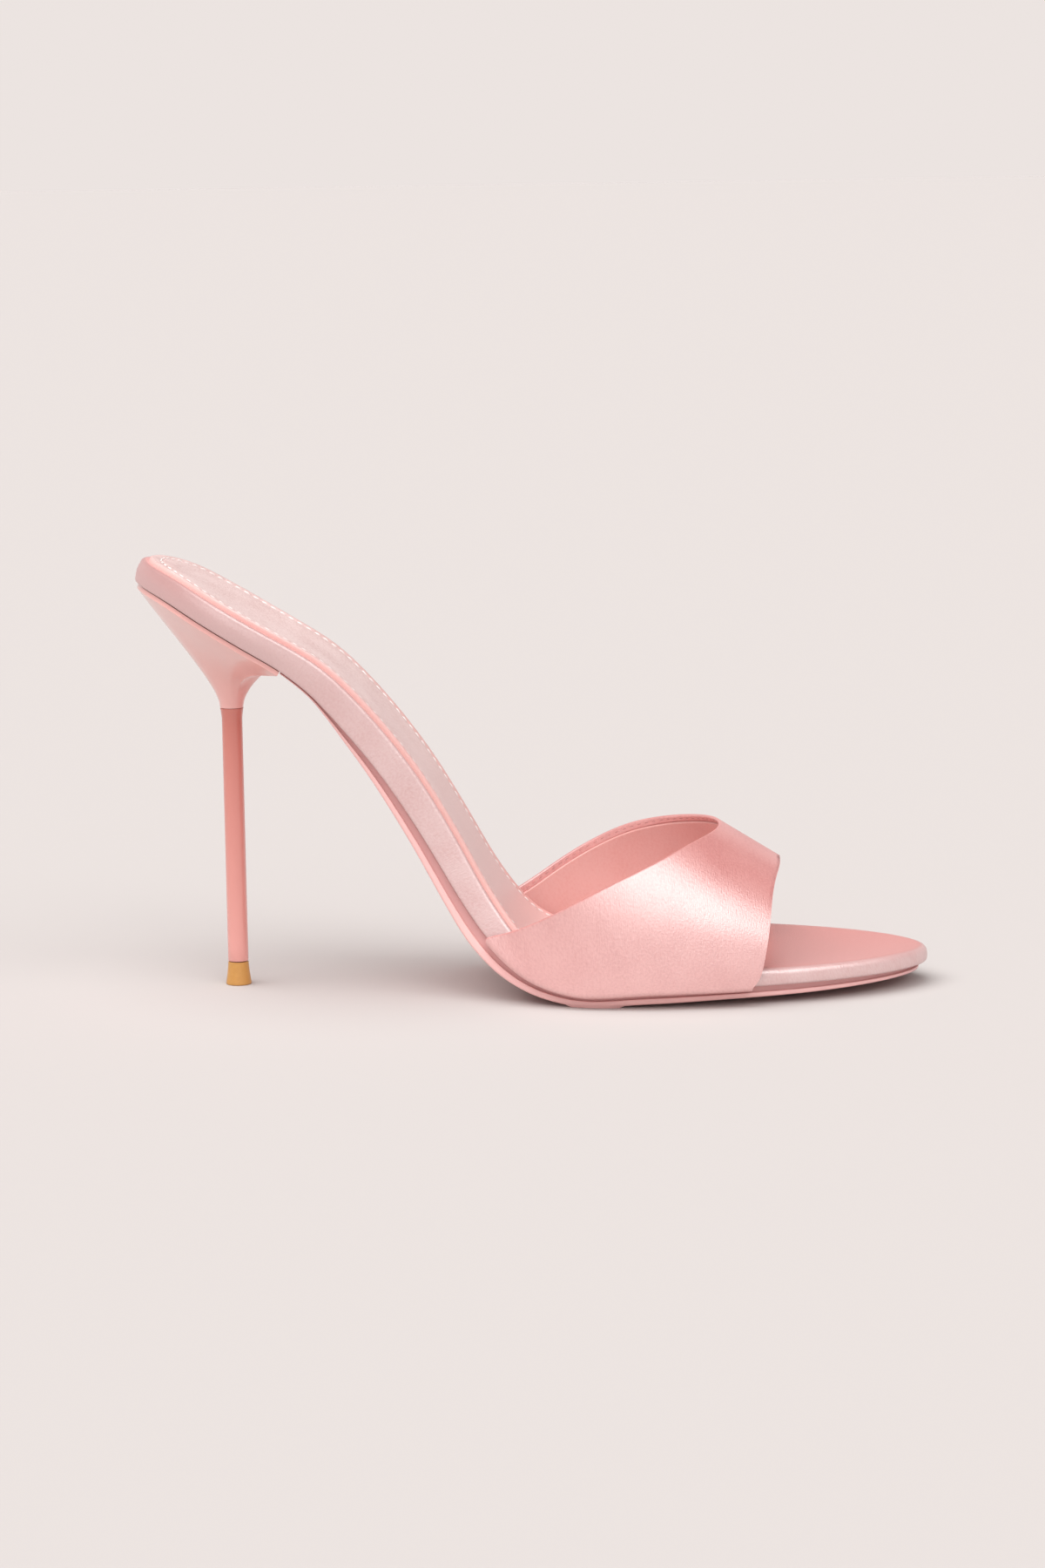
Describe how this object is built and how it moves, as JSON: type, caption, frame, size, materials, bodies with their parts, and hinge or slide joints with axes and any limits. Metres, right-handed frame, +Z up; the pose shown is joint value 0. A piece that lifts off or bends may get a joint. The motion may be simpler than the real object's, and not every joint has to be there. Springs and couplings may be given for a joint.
{
  "type": "heeled mule",
  "caption": "Open-toed satin mule with a wide vamp, a wrapped platform, a padded sock and a slim stiletto heel with a flared tip.",
  "frame": {"origin": "on the floor under the middle of the shoe's box", "axes": "+X from the heel to the toe, +Y to the inner side of the foot, +Z up"},
  "size_m": [0.2142, 0.0804, 0.1183],
  "materials": {
    "sole": "lacquered pink sole leather",
    "wrap_satin": "pink satin",
    "sock_satin": "pale pink satin with a fine sparkle",
    "vamp_satin": "pink satin",
    "heel_pearl": "pearl gloss",
    "stem_lacquer": "gloss lacquer",
    "tip": "satin amber rubber"
  },
  "bodies": {
    "root": {"outsole": "sole", "platform": "wrap_satin", "insole_sock": "sock_satin", "vamp": "vamp_satin", "heel": "heel_pearl", "heel_stem": "stem_lacquer", "top_piece": "tip"}
  },
  "joints": []
}
